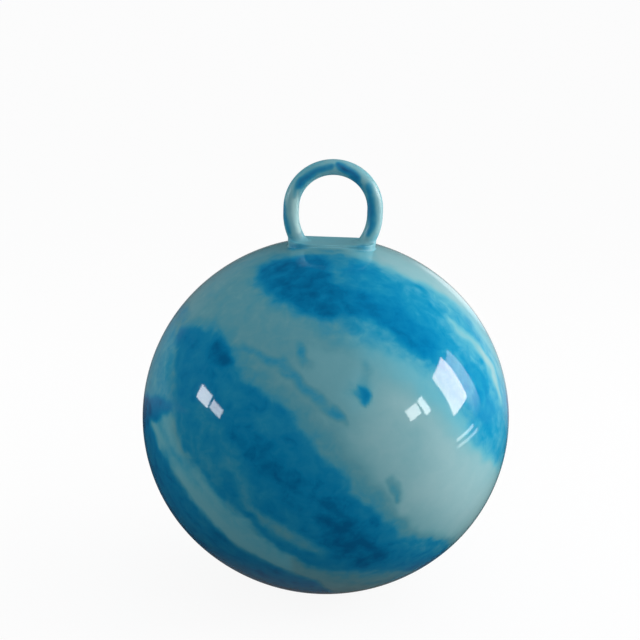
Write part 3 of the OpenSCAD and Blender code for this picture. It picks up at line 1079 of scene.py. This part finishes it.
def moulded_plastic(name, pale, dark, roughness):
    """Plain moulded plastic with a little unevenness in its colour, gloss and surface."""
    made, tree = new_material(name)
    place = add(tree, "TexCoord").outputs["Object"]
    ramp = add(tree, "ValToRGB", {"Fac": noise_node(tree, place, *CLOUD_NOISE)})
    for stop, position, colour in zip(ramp.color_ramp.elements, CLOUD_STOPS, (dark, pale)):
        stop.position = position
        stop.color = colour
    dull = noise_node(tree, place, *DULL_NOISE)
    gloss = remap(tree, dull, roughness - DULL_REACH, roughness + DULL_REACH)
    grain = relief(tree, noise_node(tree, place, *GRAIN_NOISE), *GRAIN_RELIEF)
    end_in_plastic(tree, ramp.outputs["Color"], gloss, grain)
    return made


# The stage: floor, room light, windows, lamps and camera

def seen_directly(tree):
    """1 for rays from the camera, and for mirrored and refracted ones."""
    path = add(tree, "LightPath").outputs
    mirrored = math_node(tree, "MAXIMUM", path["Is Glossy Ray"], path["Is Transmission Ray"])
    return math_node(tree, "MAXIMUM", path["Is Camera Ray"], mirrored)


def flat_sheet(name, half_x, half_y, z=0.0):
    """A level rectangle about the origin."""
    x, y = half_x, half_y
    return make_mesh(name, [(-x, -y, z), (x, -y, z), (x, y, z), (-x, y, z)], [(0, 1, 2, 3)])


def leave_to_mirrors(made):
    """Hides an object of the stage from all but mirrored rays."""
    made.visible_camera = False
    made.visible_diffuse = False
    made.visible_shadow = False


# What the skin mirrors of the room: dim walls, and pale ones behind it
# Each pale wall has its brightness, its direction, and how near to that direction it begins and is full.
WALL_DIM = 0.03
PALE_WALLS = [
    (1.10, (0.290, 0.957, 0.000), (0.988, 1.00)),
    (0.40, (0.440, 0.892, -0.100), (0.90, 0.99)),
    (0.16, (-0.469, 0.877, 0.102), (0.90, 0.99)),
]


def pale_walls(tree, direction, least):
    """Brightness of the room's walls in a direction."""
    wall = least
    for brightness, side, edge in PALE_WALLS:
        nearness = vector_node(tree, "DOT_PRODUCT", direction, side)["Value"]
        wall = math_node(tree, "MAXIMUM", wall, ease(tree, nearness, edge, 0.0, brightness))
    return wall


FLOOR_HALF = 20.0
# How much of the floor is plain white where it is seen, its grey there, and its grey as it lights the ball
FLOOR_WHITE = 0.92
FLOOR_SEEN = (0.9, 0.9, 0.9, 1.0)
FLOOR_LIGHTING = (0.35, 0.35, 0.35, 1.0)


def build_floor():
    """A wide pale floor that keeps the ball's shadow."""
    floor = flat_sheet("floor", FLOOR_HALF, FLOOR_HALF)
    made, tree = new_material("pale_floor")
    direct = seen_directly(tree)
    grey = add(tree, "Mix", {"Factor": direct, "A": FLOOR_LIGHTING, "B": FLOOR_SEEN}, data_type="RGBA")
    matt = add(tree, "BsdfDiffuse", {"Color": grey.outputs["Result"]})
    white = add(tree, "Emission", {"Strength": 1.0})
    share = math_node(tree, "MULTIPLY", direct, FLOOR_WHITE)
    mixed = add(tree, "MixShader", {0: share, 1: matt.outputs[0], 2: white.outputs[0]})
    add(tree, "OutputMaterial", {"Surface": mixed.outputs[0]})
    floor.data.materials.append(made)


# The cloth as the skin mirrors it: dim, a little paler round the ball's foot, and as pale as the walls behind
# A reach gives where a change begins and ends, in metres.
CLOTH_LIFT = 0.002
CLOTH_DIM = 0.02
CLOTH_FOOT = 0.08
CLOTH_FOOT_REACH = (0.11, 0.19)
CLOTH_BEHIND = 0.14
CLOTH_BEHIND_REACH = (0.40, 0.95)


def build_dark_cloth():
    """A dark cloth that only mirrored rays see, so that the skin mirrors no white floor."""
    cloth = flat_sheet("dark_cloth", FLOOR_HALF, FLOOR_HALF, CLOTH_LIFT)
    leave_to_mirrors(cloth)
    made, tree = new_material("dark_cloth")
    geometry = add(tree, "NewGeometry").outputs
    place = geometry["Position"]
    away = vector_node(tree, "LENGTH", place)["Value"]
    depth = add(tree, "SeparateXYZ", {"Vector": place}).outputs["Y"]
    foot = ease(tree, away, CLOTH_FOOT_REACH, CLOTH_FOOT, CLOTH_DIM)
    behind = ease(tree, depth, CLOTH_BEHIND_REACH, 0.0, 1.0)
    from_ball = vector_node(tree, "SUBTRACT", place, BALL_CENTRE.tolist())["Vector"]
    direction = vector_node(tree, "NORMALIZE", from_ball)["Vector"]
    far = math_node(tree, "MULTIPLY", behind, pale_walls(tree, direction, CLOTH_BEHIND))
    glow = add(tree, "Emission", {"Strength": math_node(tree, "MAXIMUM", foot, far)})
    clear = add(tree, "BsdfTransparent")
    mixed = add(tree, "MixShader", {0: geometry["Backfacing"], 1: glow.outputs[0], 2: clear.outputs[0]})
    add(tree, "OutputMaterial", {"Surface": mixed.outputs[0]})
    cloth.data.materials.append(made)


# Light of the room: its level all round, how much it grows towards its bright side, that side, and its colour
ROOM_LEVEL = 0.50
ROOM_GAIN = 0.72
ROOM_BRIGHT_SIDE = (0.85, -0.22, 0.48)
ROOM_COLOUR = (0.97, 0.98, 1.0, 1.0)


def build_sky():
    """Soft light from all round, brighter from the right and from above; mirrored rays see dim walls."""
    world = bpy.data.worlds.new("room_light")
    bpy.context.scene.world = world
    world.use_nodes = True
    tree = world.node_tree
    tree.nodes.clear()
    direction = add(tree, "TexCoord").outputs["Generated"]
    facing = vector_node(tree, "DOT_PRODUCT", direction, ROOM_BRIGHT_SIDE)["Value"]
    level = remap(tree, facing, 0.0, ROOM_LEVEL + ROOM_GAIN, (-ROOM_LEVEL / ROOM_GAIN, 1.0))
    wall = pale_walls(tree, direction, WALL_DIM)
    mirrored = add(tree, "LightPath").outputs["Is Glossy Ray"]
    strength = add(tree, "Mix", {"Factor": mirrored, "A": level, "B": wall}).outputs["Result"]
    sky = add(tree, "Background", {"Color": ROOM_COLOUR, "Strength": strength})
    add(tree, "OutputWorld", {"Surface": sky.outputs[0]})


def placed(origin, x_axis, y_axis, z_axis):
    """The matrix that puts an object at an origin, turned to three axes."""
    turn = Matrix(np.stack([x_axis, y_axis, z_axis], axis=1).tolist())
    return Matrix.LocRotScale(origin.tolist(), turn, None)


def area_lamp(name, place, width, height, brightness):
    """A rectangular lamp that the camera doesn't see."""
    lamp = bpy.data.lights.new(name, "AREA")
    lamp.shape = "RECTANGLE"
    lamp.size = width
    lamp.size_y = height
    lamp.energy = brightness * math.pi * width * height
    made = bpy.data.objects.new(name, lamp)
    made.matrix_world = place
    made.visible_camera = False
    bpy.context.scene.collection.objects.link(made)
    return made


# Windows of the room: how far they stand from the ball, and their colours
WINDOW_DISTANCE = 3.0
STREAK_DISTANCE = 1.0
WHITE = (1.0, 1.0, 1.0)
PANE_TINT = (1.0, 0.96, 0.98)
WARM_TINT = (1.0, 0.78, 0.72)
# The curtain hangs behind its window; its hem and its outer side fade over these shares of it
CURTAIN_TINT = (1.0, 0.92, 0.92, 1.0)
CURTAIN_BEHIND = 0.5
CURTAIN_HEM = (0.40, 1.0)
CURTAIN_SIDE = (0.0, 0.4)
# The search for the place where a pixel meets the ball: its start, in ball radii, and its steps
MEET_START = 1.05
MEET_STEPS = 60


def mirror_ray(x, y):
    """Where a pixel meets the ball, and the direction in which it mirrors the room."""
    ray = pixel_ray(x, y)
    point = CAMERA + ray * (CAMERA_DISTANCE - MEET_START * BALL_R)
    for _ in range(MEET_STEPS):
        point = point + ray * ball_distance(point[None, :])[0]
    facing = unit(slope(ball_distance, point[None, :]))[0]
    return point, ray - 2 * (ray @ facing) * facing


def window_place(corners, distance):
    """Place, width and height of a rectangle that the ball mirrors at the given corners."""
    seen = [mirror_ray(x, y) for x, y in corners]
    spots = np.array([point + distance * away for point, away in seen])
    middle = spots.mean(axis=0)
    facing = unit(middle - BALL_CENTRE)
    wide = spots[1] - spots[0] + spots[2] - spots[3]
    tall = spots[3] - spots[0] + spots[2] - spots[1]
    x_axis = unit(wide - (wide @ facing) * facing)
    place = placed(middle, x_axis, np.cross(facing, x_axis), facing)
    return place, np.linalg.norm(wide) / 2, np.linalg.norm(tall) / 2


def build_window(name, corners, brightness, colour=WHITE, distance=WINDOW_DISTANCE):
    """A lamp that the ball mirrors at the given corners."""
    made = area_lamp(name, *window_place(corners, distance), brightness)
    made.data.color = colour
    made.visible_diffuse = False


def build_curtain(name, corners, brightness):
    """A glowing curtain beside a window, soft along its hem and its outer side, seen in the skin only."""
    place, width, height = window_place(corners, WINDOW_DISTANCE + CURTAIN_BEHIND)
    curtain = flat_sheet(name, width / 2, height / 2)
    curtain.matrix_world = place
    leave_to_mirrors(curtain)
    made, tree = new_material(name)
    across = add(tree, "TexCoord").outputs["Generated"]
    parts = add(tree, "SeparateXYZ", {"Vector": across}).outputs
    hem = ease(tree, parts["X"], CURTAIN_HEM, brightness, 0.0)
    side = ease(tree, parts["Y"], CURTAIN_SIDE, 0.0, 1.0)
    strength = math_node(tree, "MULTIPLY", hem, side)
    glow = add(tree, "Emission", {"Color": CURTAIN_TINT, "Strength": strength})
    add(tree, "OutputMaterial", {"Surface": glow.outputs[0]})
    curtain.data.materials.append(made)


# Each window and the curtain: its builder, its name, the corners of its mirror image on the ball in pixels of
# the photograph, its brightness, and its colour and distance where they differ from the usual ones
WINDOWS = [
    (build_window, "left_window_upper", [(203, 383), (213, 397), (207, 407), (196, 397)], 10.6, PANE_TINT),
    (build_window, "left_window_lower", [(214, 400), (224, 411), (219, 418), (209, 407)], 9.0, PANE_TINT),
    (build_window, "right_window", [(442, 359), (468, 397), (453, 416), (431, 376)], 11.6, WARM_TINT),
    (build_curtain, "right_curtain", [(449, 356), (486, 416), (470, 428), (443, 362)], 3.0),
    (build_window, "front_window_left", [(405, 412), (416, 402), (421, 414), (411, 421)], 9.8),
    (build_window, "front_window_right", [(418, 400), (422, 395), (430, 411), (425, 417)], 11.0),
    (build_window, "streak_upper", [(456, 439), (473, 424), (474, 426), (457, 442)], 5.0,
     WHITE, STREAK_DISTANCE),
    (build_window, "streak_lower", [(457, 446), (477, 428), (478, 430), (458, 448)], 3.5,
     WHITE, STREAK_DISTANCE),
]

# Large soft lamps that the skin doesn't mirror: name, direction from the ball's centre, and brightness
SOFT_LAMPS = [
    ("soft_right", (0.97, 0.20, 0.02), 5.9),
    ("soft_left", (-0.95, 0.30, 0.08), 2.4),
]
SOFT_DISTANCE = 1.6
SOFT_SIZE = 1.2


def build_soft_lamp(name, direction, brightness):
    """A large square lamp for even light, hidden from mirrored rays."""
    facing = unit(np.array(direction))
    x_axis = unit(np.cross((0.0, 0.0, 1.0), facing))
    place = placed(BALL_CENTRE + SOFT_DISTANCE * facing, x_axis, np.cross(facing, x_axis), facing)
    area_lamp(name, place, SOFT_SIZE, SOFT_SIZE, brightness).visible_glossy = False


def build_camera():
    """The photograph's view."""
    lens = bpy.data.cameras.new("camera")
    lens.sensor_width = SENSOR_WIDTH
    lens.lens = SENSOR_WIDTH * FOCAL_PX / IMAGE
    made = bpy.data.objects.new("camera", lens)
    made.matrix_world = placed(CAMERA, RIGHT, UP, BACK)
    bpy.context.scene.collection.objects.link(made)
    bpy.context.scene.camera = made


def dress(piece, body, node, material):
    """Puts a piece on its body in place of its solid, with its material."""
    piece.data.materials.append(material)
    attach(piece, body)
    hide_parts(node)


# Finish of the marbled pieces: the lightest colour, and the roughness at its least and most; the handle's
# lightest colour, paler than the skin's, is the colour of its painted highlights
SKIN_FINISH = (linear(158, 199, 203), 0.03, 0.07)
HANDLE_HIGHLIGHT_AND_GLOSS = (linear(182, 226, 225), 0.28, 0.40)
# Finish of the plain pieces: the pale and the dark colour, and the roughness
SEAT_FINISH = (linear(150, 196, 202), linear(128, 184, 196), 0.30)
STOPPER_FINISH = (linear(238, 239, 236), linear(228, 229, 225), 0.34)


def build_object():
    """All pieces of the hopper ball."""
    marbled = marbled_plastic("marbled_skin", *SKIN_FINISH)
    handled = marbled_plastic("marbled_handle_painted_highlights", *HANDLE_HIGHLIGHT_AND_GLOSS)
    ball = build_ball()
    ring, saddle = build_handle()
    paint_ball(ball)
    paint_handle(saddle)
    paint_handle(ring)
    dress(ball, "ball", "ball_skin", marbled)
    dress(saddle, "ball", "handle_saddle", handled)
    dress(ring, "ball", "handle_ring", handled)
    soft = moulded_plastic("soft_seat", *SEAT_FINISH)
    hard = moulded_plastic("white_stopper", *STOPPER_FINISH)
    dress(build_valve_seat(), "ball", "valve_seat", soft)
    dress(build_stopper(), "stopper", "valve_plug", hard)


def build_stage():
    """The floor, the room's light and the camera."""
    build_floor()
    build_dark_cloth()
    build_sky()
    for build, name, corners, brightness, *more in WINDOWS:
        build(name, corners, brightness, *more)
    for name, direction, brightness in SOFT_LAMPS:
        build_soft_lamp(name, direction, brightness)
    build_camera()
    bpy.context.scene.view_settings.view_transform = "Standard"


build_object()
build_stage()
